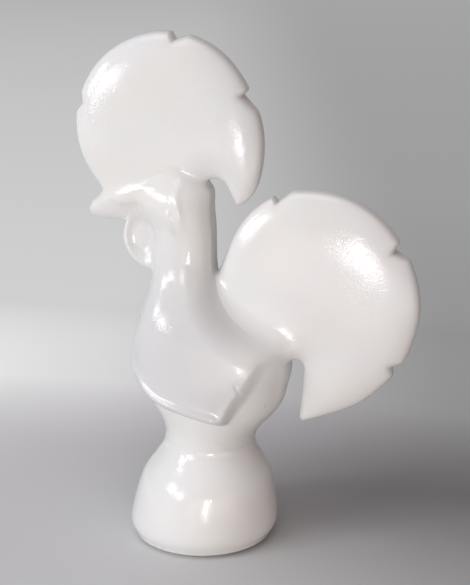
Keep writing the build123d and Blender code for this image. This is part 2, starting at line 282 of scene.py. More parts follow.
# The room: colours at the left and the right and how far to the sides they reach, and its light in front of
# the bird and behind it
ROOM_LEFT, ROOM_RIGHT = "E6E9F0", "947C77"
ROOM_WIDTH = 0.9
ROOM_DEPTH = 0.8
ROOM_FRONT, ROOM_REAR = 0.8, 0.4
# Tones painted on the paper from 100 mm in front of the bird to 2.9 m behind it: painted light at the left,
# painted shade at the right with a painted shadow band right of the foot at 0.08 m, and a painted bright
# patch at the left at
# 0.24 m; place along Y in metres and colour. Further off it goes over into one tone.
PAPER_RUN = (-0.1, 2.9)
# Painted light: the lit left of the paper, with a painted bright patch at 0.24 m
PAPER_LEFT_PAINTED_LIGHT = (
    (-0.1, "D4D4D4"), (0.12, "E2E2E2"), (0.24, "FBFBFB"), (0.42, "D0D0D0"), (1.1, "C8C8C8"), (2.9, "B2B2B2"),
)
# Painted shade: the shaded right of the paper, with a painted shadow band right of the foot at 0.08 m
PAPER_RIGHT_PAINTED_SHADE = (
    (-0.1, "B8B8B8"), (0.08, "7E7E7E"), (0.22, "A8A8A8"), (0.4, "949494"), (0.9, "9E9E9E"), (2.9, "A5A5A5"),
)
FAR_TONE = "ACACAC"
# Half the sheet's side, the direction to the camera's right, and in metres where along it the left tones go
# over into the right ones; and how far from the origin the glow of the painted tones and the far tone set in
PAPER_HALF = 9
PAPER_ASIDE = (0.982, 0.191, 0.0)
PAPER_TURN = (-0.1, 0.22)
GLOW_FROM = (0.12, 0.5)
FAR_FROM = (3.0, 7.0)
PAPER_ROUGHNESS = 0.9


def linear(code):
    """Linear colour with alpha from an sRGB hex code."""
    levels = [int(code[i:i + 2], 16) / 255 for i in (0, 2, 4)]
    return (*[v / 12.92 if v <= 0.04045 else ((v + 0.055) / 1.055) ** 2.4 for v in levels], 1.0)


# Curves and side-view outlines

def curve_through(rows, at):
    """Smooth curves through rows of a place and its values, read at places of any shape."""
    rows = np.asarray(rows, float)
    place, values = rows[:, 0], rows[:, 1:]
    gap = np.diff(place)
    last = len(place) - 1
    system = np.eye(last + 1)
    pull = np.zeros_like(values)
    for i in range(1, last):
        system[i, i - 1:i + 2] = gap[i - 1], 2 * (gap[i - 1] + gap[i]), gap[i]
        pull[i] = 6 * ((values[i + 1] - values[i]) / gap[i] - (values[i] - values[i - 1]) / gap[i - 1])
    bend = np.linalg.solve(system, pull)
    at = np.clip(at, place[0], place[-1])
    i = np.clip(np.searchsorted(place, at) - 1, 0, last - 1)
    low = (place[i + 1] - at) / gap[i]
    high = 1 - low
    sag = gap[i] ** 2 / 6
    return [
        low * v[i] + high * v[i + 1] + ((low ** 3 - low) * b[i] + (high ** 3 - high) * b[i + 1]) * sag
        for v, b in zip(values.T, bend.T)
    ]


def round_the(middle, radius, angle):
    """A point round a middle in the side view."""
    return (middle[0] + radius * np.cos(np.radians(angle)), middle[1] + radius * np.sin(np.radians(angle)))


def line_through(points, count):
    """Points spread along one smooth line through a few given ones."""
    points = np.asarray(points, float)
    run = np.concatenate(([0], np.cumsum(np.hypot(*np.diff(points, axis=0).T))))
    return np.column_stack(curve_through(np.column_stack((run, points)), np.linspace(0, run[-1], count)))


def round_corner(before, corner, after, radius):
    """The short arc that takes the place of a corner of an outline."""
    before, corner, after = (np.asarray(p, float) for p in (before, corner, after))
    arms = [(p - corner) / np.linalg.norm(p - corner) for p in (before, after)]
    half = np.arccos(np.clip(arms[0] @ arms[1], -1, 1)) / 2
    middle = corner + (arms[0] + arms[1]) / np.linalg.norm(arms[0] + arms[1]) * radius / np.sin(half)
    start, end = [corner + arm * radius / np.tan(half) - middle for arm in arms]
    turn = np.arctan2(start[0] * end[1] - start[1] * end[0], start @ end)
    angles = np.arctan2(start[1], start[0]) + turn * np.linspace(0, 1, ARC_POINTS)
    return middle + radius * np.column_stack((np.cos(angles), np.sin(angles)))


def outline_field(outline):
    """Signed distance from a closed outline over the side view, negative inside."""
    x, z = PLATE_X[:, None], PLATE_Z[None, :]
    nearest = np.full((len(PLATE_X), len(PLATE_Z)), np.inf)
    inside = np.zeros(nearest.shape, bool)
    for (ax, az), (bx, bz) in zip(outline, np.roll(outline, -1, axis=0)):
        run, rise = bx - ax, bz - az
        length = run * run + rise * rise
        if length < NO_LENGTH:
            continue
        share = np.clip(((x - ax) * run + (z - az) * rise) / length, 0, 1)
        nearest = np.minimum(nearest, np.hypot(x - ax - share * run, z - az - share * rise))
        if rise:
            inside ^= ((az > z) != (bz > z)) & (x < ax + (z - az) * run / rise)
    return np.where(inside, -nearest, nearest)


def read_field(field, x, z):
    """A side-view field at any places, weighed between its four nearest points."""
    i, j = (x - PLATE_X[0]) / PLATE_PITCH, (z - PLATE_Z[0]) / PLATE_PITCH
    i0 = np.clip(np.floor(i).astype(int), 0, len(PLATE_X) - 2)
    j0 = np.clip(np.floor(j).astype(int), 0, len(PLATE_Z) - 2)
    u, v = i - i0, j - j0
    low = field[i0, j0] * (1 - v) + field[i0, j0 + 1] * v
    high = field[i0 + 1, j0] * (1 - v) + field[i0 + 1, j0 + 1] * v
    return low * (1 - u) + high * u


def join(a, b, crease):
    """Two forms joined, the crease between them filled."""
    near = np.maximum(crease - np.abs(a - b), 0) / crease
    return np.minimum(a, b) - near ** 3 * crease / 6


def trim(a, b, edge):
    """What two forms share, the edge between them rounded."""
    return -join(-a, -b, edge)


def ramp(value, start, end):
    """A soft step from 0 at the start to 1 at the end."""
    share = np.clip((value - start) / (end - start), 0, 1)
    return share * share * (3 - 2 * share)


@lru_cache(maxsize=None)
def disc_field(name, nick_opening):
    """Side view of a disc with its hook and its nicks, and the softened distance from its rim alone."""
    disc = {"comb": COMB, "tail": TAIL}[name]
    rim = [round_the(disc["middle"], disc["radius"] + swell, angle) for angle, swell in disc["rim"]]
    rim = line_through(rim + [disc["tip"]], RIM_POINTS)
    bow = np.linspace(disc["gap_start"], 180, GAP_POINTS)
    gap = [round_the(disc["gap"], HOOK_GAP_RADIUS, angle) for angle in bow]
    tip = round_corner(rim[-TIP_ARM], disc["tip"], gap[0], HOOK_TIP_ROUND)
    clear = np.linalg.norm(rim - disc["tip"], axis=1) > np.linalg.norm(tip[0] - disc["tip"])
    field = outline_field(np.vstack((rim[clear], tip, gap, [disc["root"]])))
    for angle, swell, skew, depth in disc["nicks"]:
        edge = disc["radius"] + swell
        opening = np.degrees(2 * nick_opening / edge)
        nick = outline_field(np.array([
            round_the(disc["middle"], edge - depth, angle),
            round_the(disc["middle"], edge + depth, angle + skew * opening),
            round_the(disc["middle"], edge + depth, angle - (1 - skew) * opening),
        ]))
        field = trim(field, -nick, NICK_ROUND)
    depth = -outline_field(np.vstack((rim[clear], tip, gap, disc["run_on"])))
    soft = np.exp(-np.arange(-SOFT_REACH, SOFT_REACH + 1) ** 2 / (2 * SOFT_SPREAD ** 2))
    for _ in ("along X", "along Z"):
        wide = np.pad(depth, ((SOFT_REACH, SOFT_REACH), (0, 0)), mode="edge")
        depth = sum(weight * wide[i:i + len(depth)] for i, weight in enumerate(soft / soft.sum())).T
    return field, depth


@lru_cache(maxsize=None)
def apron_field(point_round):
    """Side view of what lies above the lower edge of breast and wings."""
    edge = line_through(APRON_EDGE, APRON_POINTS)
    point = round_corner(edge[-POINT_ARM], APRON_EDGE[-1], WING_BACK, point_round)
    clear = np.linalg.norm(edge - APRON_EDGE[-1], axis=1) > np.linalg.norm(point[0] - APRON_EDGE[-1])
    behind = [WING_BACK, (FAR_BACK, WING_BACK[1]), (FAR_BACK, FAR_UP)]
    before = [(FAR_FRONT, FAR_UP), (FAR_FRONT, edge[0][1])]
    return outline_field(np.vstack((edge[clear], point, behind, before)))


# The bird's forms, as signed distances in millimetres

def core_form(x, y, z):
    """Belly, body, neck and head without the relief of breast and wings."""
    front, widest, back, half_width, seam, front_roundness, back_roundness = curve_through(CORE_LEVELS, z)
    ahead = x < widest
    length = np.where(ahead, widest - front, back - widest)
    flat = np.where(ahead, 0, seam)
    width = half_width - flat
    power = np.where(ahead, front_roundness, back_roundness)
    u = np.abs(x - widest) / length
    v = np.maximum(np.abs(y) - flat, 0) / width
    reach = (u ** power + v ** power) ** (1 / power) + TINY
    slope = np.hypot((u / reach) ** (power - 1) / length, (v / reach) ** (power - 1) / width)
    return np.maximum((reach - 1) / slope, z - CORE_LEVELS[-1][0])


def apron_relief(x, z, sizes):
    """How far breast and wings stand out of the core, with a round edge that fades in front and behind."""
    inside = -read_field(apron_field(sizes.wing_point_round / MM), x, z)
    rolled = np.sqrt(1 - (1 - np.clip(inside / (sizes.ledge_round / MM), 0, 1)) ** 2)
    sloped = ramp(inside, *WING_SLOPE)
    behind = ramp(x, *WING_TURN)
    height, = curve_through(APRON_RELIEF, z)
    fade = ramp(x, *BACK_FADE) * (FRONT_SHARE + (1 - FRONT_SHARE) * ramp(x, *FRONT_FADE))
    fade = 1 - (1 - fade) * ramp(z, *FADE_TOP)
    flare = sizes.apron_flare / MM * np.exp(-((inside - FLARE_PLACE) / FLARE_SPREAD) ** 2)
    flare = flare * ramp(x, *FLARE_START) * (1 - behind)
    return height * (rolled * (1 - behind) + sloped * behind) * fade + flare * rolled


def fold_height(x, z):
    """How far folds stand up, and nicks lie deep, at a place in the side view."""
    height = 0.0
    for points, rise, width in FOLDS:
        line = line_through(points, FOLD_POINTS)
        nearest = np.inf
        along = 0.0
        for i, ((ax, az), (bx, bz)) in enumerate(zip(line[:-1], line[1:])):
            run, climb = bx - ax, bz - az
            share = np.clip(((x - ax) * run + (z - az) * climb) / (run ** 2 + climb ** 2), 0, 1)
            away = np.hypot(x - ax - share * run, z - az - share * climb)
            along = np.where(away < nearest, (i + share) / (len(line) - 1), along)
            nearest = np.minimum(nearest, away)
        ends = np.sqrt(np.sin(np.pi * (FOLD_END + (1 - 2 * FOLD_END) * along)))
        height = height + rise * np.exp(-(nearest / width) ** 2) * ends
    return height


def disc_form(name, x, y, z, sizes):
    """Comb or tail: a crowned disc with a blunt rim."""
    side, depth = (read_field(field, x, z) for field in disc_field(name, sizes.nick_opening / MM))
    half, = curve_through(DISC_CROWN, 1 - depth / {"comb": COMB, "tail": TAIL}[name]["radius"])
    if name == "tail":
        (middle_x, middle_z), height, spread = TAIL_SWELL
        half = half + height * np.exp(-((x - middle_x) ** 2 + (z - middle_z) ** 2) / (2 * spread ** 2))
    return trim(side, np.abs(y) - half, sizes.rim_round / MM)


def beak_form(x, y, z):
    """The blunt wedge in front of the head."""
    ridge, above, below, width = curve_through(BEAK_LEVELS, x)
    height = np.where(z > ridge, above, below)
    u, v = np.abs(z - ridge) / height, np.abs(y) / width
    reach = (u ** BEAK_ROUNDNESS + v ** BEAK_ROUNDNESS) ** (1 / BEAK_ROUNDNESS) + TINY
    rise, swing = ((w / reach) ** (BEAK_ROUNDNESS - 1) for w in (u, v))
    side = (reach - 1) / np.hypot(rise / height, swing / width + TINY)
    tipped = trim(side, BEAK_LEVELS[1][0] - x, BEAK_TIP_ROUND)
    return trim(tipped, x - BEAK_LEVELS[-1][0], BEAK_BACK_ROUND)


def wattle_form(x, y, z):
    """The dished fin under the beak."""
    away = np.hypot(x - WATTLE_MIDDLE[0], z - WATTLE_MIDDLE[1]) - WATTLE_RADIUS
    dish = np.hypot(x - DISH_MIDDLE[0], (z - DISH_MIDDLE[1]) / DISH_STRETCH) / DISH_HALF
    face = np.abs(y) - WATTLE_HALF + DISH_DEPTH * np.exp(-dish ** DISH_STEEPNESS)
    return trim(away, face, WATTLE_ROUND)


def bird_forms(points, sizes):
    """Distances from body, tail, comb, beak and wattle, each alone, and from the edge of the apron."""
    x, y, z = points
    z = WAIST_Z + np.abs(z - WAIST_Z)
    folds = fold_height(x, z) * ramp(np.abs(y), *FOLD_FADE)
    return {
        "body": core_form(x, y, z) - apron_relief(x, z, sizes) - folds,
        "tail": disc_form("tail", x, y, z, sizes),
        "comb": disc_form("comb", x, y, z, sizes),
        "beak": beak_form(x, y, z),
        "wattle": wattle_form(x, y, z),
        "apron": read_field(apron_field(sizes.wing_point_round / MM), x, z),
    }


def bird_skin(points, sizes):
    """Signed distance from the luted and glazed bird, with the slight waviness of handwork."""
    form = bird_forms(points, sizes)
    crease, = curve_through(TAIL_CREASE, points[2])
    skin = join(form["body"], form["tail"], crease)
    skin = join(skin, form["comb"], sizes.comb_crease / MM)
    skin = join(skin, form["beak"], sizes.beak_crease / MM)
    skin = join(skin, form["wattle"], sizes.wattle_crease / MM)
    x, y, z = points[0], points[1] ** 2 / WAVE_WIDTH, np.abs(points[2] - WAIST_Z)
    waves = np.random.default_rng(WAVE_SEED).normal(size=(WAVE_COUNT, 4))
    for along, across, up, start in waves:
        phase = (along * x + across * y + up * z) / WAVE_LENGTH + WAVE_SHIFT * start
        skin = skin + sizes.waviness / MM * np.sin(phase) / WAVE_COUNT
    return skin


# From the distances to a mesh

def net_over(field):
    """One point in each grid cell that the surface passes through, and quads that face outwards."""
    inside = field < 0
    corners = np.array(list(np.ndindex(2, 2, 2)))
    cells = np.array(field.shape) - 1
    blocks = [tuple(slice(c, c + n) for c, n in zip(corner, cells)) for corner in corners]
    full = sum(inside[block].astype(int) for block in blocks)
    active = (full > 0) & (full < len(corners))
    cell = np.argwhere(active)
    number = np.full(active.shape, -1)
    number[active] = np.arange(len(cell))
    value = field[tuple((cell[:, None, :] + corners).transpose(2, 0, 1))]
    total = np.zeros((len(cell), 3))
    hits = np.zeros((len(cell), 1))
    for a, corner in enumerate(corners):
        for axis in range(3):
            if corner[axis]:
                continue
            b = a + (4, 2, 1)[axis]
            crossed = ((value[:, a] < 0) != (value[:, b] < 0))[:, None]
            share = value[:, a] / np.where(crossed[:, 0], value[:, a] - value[:, b], 1)
            total += np.where(crossed, corner + share[:, None] * np.eye(3)[axis], 0)
            hits += crossed
    quads = []
    for axis in range(3):
        first, second = np.eye(3, dtype=int)[[(axis + 1) % 3, (axis + 2) % 3]]
        start = tuple(slice(0, n - (i == axis)) for i, n in enumerate(field.shape))
        end = tuple(slice(int(i == axis), n) for i, n in enumerate(field.shape))
        edge = np.argwhere(inside[start] != inside[end])
        others = [(axis + 1) % 3, (axis + 2) % 3]
        edge = edge[((edge[:, others] > 0) & (edge[:, others] < cells[others])).all(axis=1)]
        steps = (first + second, second, 0 * first, first)
        ring = np.stack([number[tuple((edge - step).T)] for step in steps], 1)
        outwards = inside[tuple(edge.T)]
        quads.append(np.where(outwards[:, None], ring, ring[:, ::-1]))
    return cell, cell + total / hits, np.vstack(quads)


def skin_and_normal(points, sizes):
    """Distance from the skin and its outward direction at points."""
    slope = np.empty_like(points)
    for axis in range(3):
        shift = SLOPE_STEP * np.eye(3)[axis]
        ahead, behind = bird_skin((points + shift).T, sizes), bird_skin((points - shift).T, sizes)
        slope[:, axis] = (ahead - behind) / (2 * SLOPE_STEP)
    size = np.linalg.norm(slope, axis=1, keepdims=True)
    return bird_skin(points.T, sizes)[:, None] / size, slope / size


def cut_along(rows, triangles, column):
    """Divides the triangles that the zero line of one column of values crosses."""
    side = rows[:, column].copy()
    pairs = np.vstack((triangles[:, [0, 1]], triangles[:, [1, 2]], triangles[:, [2, 0]]))
    pairs = pairs[side[pairs[:, 0]] * side[pairs[:, 1]] < 0]
    share = side[pairs[:, 0]] / (side[pairs[:, 0]] - side[pairs[:, 1]])
    side[pairs[share < SNAP, 0]] = 0
    side[pairs[share > 1 - SNAP, 1]] = 0
    corner_side = side[triangles]
    crossed = (corner_side.min(axis=1) < 0) & (corner_side.max(axis=1) > 0)
    made, extra, new = {}, [], []
    for triangle in triangles[crossed].tolist():
        halves = {-1: [], 1: []}
        for a, b in zip(triangle, triangle[1:] + triangle[:1]):
            for sign, half in halves.items():
                if side[a] * sign >= 0:
                    half.append(a)
            if side[a] * side[b] < 0:
                key = (min(a, b), max(a, b))
                if key not in made:
                    made[key] = len(rows) + len(extra)
                    part = side[key[0]] / (side[key[0]] - side[key[1]])
                    extra.append(rows[key[0]] + part * (rows[key[1]] - rows[key[0]]))
                for half in halves.values():
                    half.append(made[key])
        for half in halves.values():
            new += [(half[0], half[i], half[i + 1]) for i in range(1, len(half) - 1)]
    rows = np.vstack((rows, extra)) if extra else rows
    return rows, np.vstack((triangles[~crossed], np.array(new, int).reshape(-1, 3)))


@lru_cache(maxsize=1)
def skin_patches():
    """The bird's left skin above the waist, divided along the joints: points, normals and wall
    thicknesses, and the triangles of each patch by name."""
    sizes = bpy.context.scene.rooster_skin
    pitch = sizes.pitch / MM
    low, high = (np.array(corner) / MM for corner in CAD_BOX)
    x = np.arange(low[0] - GRID_MARGIN, high[0] + GRID_MARGIN, pitch)
    y = (np.arange(-np.ceil(GRID_HALF_WIDTH / pitch), 1) + 0.5) * pitch
    z = WAIST_Z + (np.arange(np.ceil((high[2] + GRID_MARGIN - WAIST_Z) / pitch)) - 0.5) * pitch
    grid = x[:, None, None], y[None, :, None], z[None, None, :]
    cell, points, quads = net_over(bird_skin(grid, sizes))
    points = np.array([x[0], y[0], z[0]]) + points * pitch
    on_seam = cell[:, 1] == len(y) - 2
    on_waist = cell[:, 2] == 0
    diagonal = np.linalg.norm(points[quads[:, [0, 1]]] - points[quads[:, [2, 3]]], axis=2)
    short = (diagonal[:, 0] < diagonal[:, 1])[:, None]
    triangles = np.vstack((
        np.where(short, quads[:, [0, 1, 2]], quads[:, [0, 1, 3]]),
        np.where(short, quads[:, [0, 2, 3]], quads[:, [1, 2, 3]]),
    ))
    start, end = triangles.ravel(), np.roll(triangles, -1, axis=1).ravel()
    friends = np.bincount(np.concatenate((start, end)), minlength=len(points))[:, None]
    for turn in range(SETTLE_TURNS):
        distance, normal = skin_and_normal(points, sizes)
        points = points - np.clip(distance, -SETTLE_REACH, SETTLE_REACH) * normal
        if turn < SETTLE_TURNS - 1:
            total = np.zeros_like(points)
            np.add.at(total, start, points[end])
            np.add.at(total, end, points[start])
            move = total / friends - points
            move -= normal * (move * normal).sum(axis=1, keepdims=True)
            points = points + EVEN_OUT * move
        points[on_seam, 1] = 0
        points[on_waist, 2] = WAIST_Z
    normal = skin_and_normal(points, sizes)[1]

    # The wall is as thick as the sizes say, and less where the clay itself is thin
    wall = np.full(len(points), THIN_WALL)
    for depth in WALL_TRIES * sizes.wall / MM:
        deep = -bird_skin((points - depth * normal).T, sizes)
        wall = np.where(deep > CLAY_SHARE * depth, CLAY_SHARE * depth, wall)
    for _ in range(WALL_TURNS):
        total = np.zeros(len(points))
        np.add.at(total, start, wall[end])
        np.add.at(total, end, wall[start])
        wall = np.minimum(wall, total / friends[:, 0])

    form = bird_forms(points.T, sizes)
    clay = np.minimum(form["body"], form["tail"])
    lines = np.column_stack((
        form["beak"] - np.minimum(np.minimum(clay, form["comb"]), form["wattle"]),
        form["wattle"] - np.minimum(clay, form["beak"]),
        form["comb"] - clay,
        form["tail"] - form["body"],
        form["apron"],
    ))
    rows = np.column_stack((points, normal, wall, lines))
    for column in range(FIRST_LINE, rows.shape[1]):
        rows, triangles = cut_along(rows, triangles, column)
    within = rows[triangles, FIRST_LINE:].mean(axis=1) < 0
    names = np.array(["beak", "wattle", "comb", "tail", "body", "belly"])
    owner = names[np.where(within.any(axis=1), within.argmax(axis=1), len(names) - 1)]
    rows[:, OUTWARD] /= np.linalg.norm(rows[:, OUTWARD], axis=1, keepdims=True)
    return rows[:, :FIRST_LINE], {name: triangles[owner == name] for name in names}


def skin_piece(name, patch, side):
    """A closed shell under one patch of the skin: bird's left (-1), bird's right (1) or both (0)."""
    rows, patches = skin_patches()
    used, triangles = np.unique(patches[patch], return_inverse=True)
    triangles = triangles.reshape(-1, 3)
    rows = rows[used]
    mirrored = rows * np.array([1, -1, 1, 1, -1, 1, 1])
    if side > 0:
        rows, triangles = mirrored, triangles[:, ::-1]
    if side == 0:
        apart = np.abs(rows[:, 1]) > SEAM_REACH
        twin = np.where(apart, len(rows) + np.cumsum(apart) - 1, np.arange(len(rows)))
        triangles = np.vstack((triangles, twin[triangles][:, ::-1]))
        rows = np.vstack((rows, mirrored[apart]))
    points, normal, wall = rows[:, PLACE], rows[:, OUTWARD], rows[:, WALL]
    count = len(points)
    edges = np.vstack((triangles[:, [0, 1]], triangles[:, [1, 2]], triangles[:, [2, 0]]))
    there, back = edges[:, 0] * count + edges[:, 1], edges[:, 1] * count + edges[:, 0]
    open_edges = edges[~np.isin(there, back)]
    rim = np.column_stack((open_edges[:, ::-1], open_edges + count))
    faces = triangles.tolist() + (triangles[:, ::-1] + count).tolist() + rim.tolist()
    mesh = bpy.data.meshes.new(name)
    mesh.from_pydata((np.vstack((points, points - wall * normal)) * MM).tolist(), [], faces)
    mesh.shade_smooth()
    mesh.normals_split_custom_set_from_vertices(np.vstack((normal, -normal)).tolist())
    return finish_piece(name, mesh)


def finish_piece(name, mesh):
    """Puts a finished mesh in the place of the solid of the same name."""
    if not mesh.polygons:
        raise RuntimeError(f"{name} has no faces")
    mesh.materials.clear()
    mesh.materials.append(glaze(pooled_and_shaded=name.endswith(("body_half", "wattle"))))
    piece = bpy.data.objects.new(f"glazed_{name}", mesh)
    bpy.context.scene.collection.objects.link(piece)
    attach(piece, "root")
    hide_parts(name)
    return piece


# Nodes and finishes

def add(tree, kind, inputs=(), **settings):
    """Adds one node with its settings; an input takes a value or another node's output."""
    node = tree.nodes.new(kind)
    for key, value in settings.items():
        setattr(node, key, value)
    for key, value in dict(inputs).items():
        if isinstance(value, bpy.types.NodeSocket):
            tree.links.new(value, node.inputs[key])
        else:
            node.inputs[key].default_value = value
    return node


def new_finish(name):
    """An empty material and its node tree."""
    material = bpy.data.materials.new(name)
    material.use_nodes = True
    material.node_tree.nodes.clear()
    return material, material.node_tree


def glaze(pooled_and_shaded=False):
    """Tin glaze over earthenware: dipped, fired glossy, with the grain of orange peel. Where it pooled on
    breast, wings, neck and wattle it is thicker and a little greyer; that grey is partly painted shade,
    standing in for the dimmer light on breast and wings."""
    name = "pooled_tin_glaze_on_earthenware" if pooled_and_shaded else "tin_glaze_on_earthenware"
    if name in bpy.data.materials:
        return bpy.data.materials[name]
    look = bpy.context.scene.rooster_glaze
    material, tree = new_finish(name)
    place = add(tree, "ShaderNodeTexCoord").outputs["Object"]

    # Clouding of the glaze, from its clear white to where it runs thin and warmer over the clay
    cloud = add(tree, "ShaderNodeTexNoise", {"Vector": place, "Scale": 1 / (CLOUD_WIDTH * MM), "Detail": 3.0})
    tint = add(
        tree, "ShaderNodeMix",
        {"Factor": cloud.outputs["Fac"], "A": look.glaze_colour, "B": look.thin_colour},
        data_type="RGBA",
    )
    if pooled_and_shaded:
        # The pool, a greyer tone that is partly painted shade on breast and wings, fades towards the tail and
        # towards the comb
        spot = add(tree, "ShaderNodeSeparateXYZ", {0: place})
        fades = []
        for axis, (start, end) in ((0, POOL_AND_SHADE_BACK), (2, POOL_AND_SHADE_TOP)):
            fade = {0: spot.outputs[axis], 1: start * MM, 2: end * MM}
            fades.append(add(tree, "ShaderNodeMapRange", fade, interpolation_type="SMOOTHSTEP").outputs[0])
        pool_and_shade = add(tree, "ShaderNodeMath", {0: fades[0], 1: fades[1]}, operation="MULTIPLY")
        # Painted shade: the pool's grey darkens breast, wings, neck and wattle
        tint = add(
            tree, "ShaderNodeMix",
            {"Factor": pool_and_shade.outputs[0], "A": tint.outputs["Result"], "B": look.pool_and_shade_colour},
            data_type="RGBA",
        )
    # Iron specks, about a millimetre across, in about one in six of the cells
    cells = add(tree, "ShaderNodeTexVoronoi", {"Vector": place, "Scale": 1 / (SPECK_CELL * MM)})
    chance = add(tree, "ShaderNodeSeparateXYZ", {0: cells.outputs["Color"]})
    rare = add(tree, "ShaderNodeMath", {0: chance.outputs[0], 1: SPECK_FREE}, operation="GREATER_THAN")
    core, edge = SPECK_EDGE
    near = add(
        tree, "ShaderNodeMapRange",
        {0: cells.outputs["Distance"], 1: core, 2: edge, 3: SPECK_STRENGTH, 4: 0.0},
    )
    speck = add(tree, "ShaderNodeMath", {0: rare.outputs[0], 1: near.outputs[0]}, operation="MULTIPLY")
    tint = add(
        tree, "ShaderNodeMix",
        {"Factor": speck.outputs[0], "A": tint.outputs["Result"], "B": look.speck_colour},
        data_type="RGBA",
    )
    # A slow roll of the glaze, and on it the grain like orange peel
    grain = add(tree, "ShaderNodeTexNoise", {"Vector": place, "Scale": 1 / look.grain, "Detail": 1.0})
    roll = add(tree, "ShaderNodeTexNoise", {"Vector": place, "Scale": 1 / (ROLL_WIDTH * MM), "Detail": 1.0})
    peel = add(
        tree, "ShaderNodeBump",
        {"Height": roll.outputs["Fac"], "Strength": 1.0, "Distance": ROLL_DEPTH * MM},
    )
    peel = add(
        tree, "ShaderNodeBump",
        {
            "Height": grain.outputs["Fac"],
            "Strength": 1.0,
            "Distance": look.grain_depth,
            "Normal": peel.outputs["Normal"],
        },
    )
    shader = add(
        tree, "ShaderNodeBsdfPrincipled",
        {
            "Base Color": tint.outputs["Result"],
            "Roughness": look.roughness,
            "IOR": GLAZE_IOR,
            "Normal": peel.outputs["Normal"],
        },
    )
    add(tree, "ShaderNodeOutputMaterial", {"Surface": shader.outputs["BSDF"]})
    return material


def seen(tree):
    """1 for what the camera sees, straight or in a reflection, and 0 for what only lights the bird."""
    path = add(tree, "ShaderNodeLightPath").outputs
    either = path["Is Camera Ray"]
    for kind in ("Is Glossy Ray", "Is Transmission Ray"):
        either = add(
            tree, "ShaderNodeMath", {0: either, 1: path[kind]}, operation="ADD", use_clamp=True
        ).outputs[0]
    return either


def paper_finish():
    """Matt grey background paper, which takes the bird's shadow near it; further off it glows with its tones,
    painted light at the left and painted shade at the right, where the camera sees it straight or in a
    reflection.
    """
    material, tree = new_finish("matt_background_paper")
    place = add(tree, "ShaderNodeTexCoord").outputs["Object"]
    spot = add(tree, "ShaderNodeSeparateXYZ", {0: place})
    run = add(tree, "ShaderNodeMapRange", {0: spot.outputs[1], 1: PAPER_RUN[0], 2: PAPER_RUN[1]})
    tones = []
    for levels in (PAPER_LEFT_PAINTED_LIGHT, PAPER_RIGHT_PAINTED_SHADE):
        shades = add(tree, "ShaderNodeValToRGB", {0: run.outputs[0]})
        stops = shades.color_ramp.elements
        while len(stops) < len(levels):
            stops.new(0.5)
        for stop, (y, code) in zip(stops, levels):
            stop.position = (y - PAPER_RUN[0]) / (PAPER_RUN[1] - PAPER_RUN[0])
            stop.color = linear(code)
        tones.append(shades.outputs[0])
    aside = add(tree, "ShaderNodeVectorMath", {0: place, 1: PAPER_ASIDE}, operation="DOT_PRODUCT")
    away = add(tree, "ShaderNodeVectorMath", {0: place}, operation="LENGTH")
    across, horizon, off = (
        add(
            tree, "ShaderNodeMapRange", {0: distance.outputs["Value"], 1: start, 2: end},
            interpolation_type="SMOOTHSTEP",
        ).outputs[0]
        for distance, (start, end) in ((aside, PAPER_TURN), (away, FAR_FROM), (away, GLOW_FROM))
    )
    # The paper's tones are painted light at the left and painted shade at the right
    tone = add(tree, "ShaderNodeMix", {"Factor": across, "A": tones[0], "B": tones[1]}, data_type="RGBA")
    far_tone = add(
        tree, "ShaderNodeMix", {"Factor": horizon, "A": tone.outputs["Result"], "B": linear(FAR_TONE)},
        data_type="RGBA",
    )
    sheet = add(
        tree, "ShaderNodeBsdfPrincipled",
        {"Base Color": tone.outputs["Result"], "Roughness": PAPER_ROUGHNESS},
    )
    # Further off the paper glows with these painted tones where the camera sees it, instead of being lit
    glowing_tones = add(tree, "ShaderNodeEmission", {"Color": far_tone.outputs["Result"], "Strength": 1.0})
    share = add(tree, "ShaderNodeMath", {0: off, 1: seen(tree)}, operation="MULTIPLY")
    paper = add(
        tree, "ShaderNodeMixShader",
        {0: share.outputs[0], 1: sheet.outputs[0], 2: glowing_tones.outputs[0]},
    )
    add(tree, "ShaderNodeOutputMaterial", {"Surface": paper.outputs[0]})
    return material


# Geometry nodes for the thrown bell

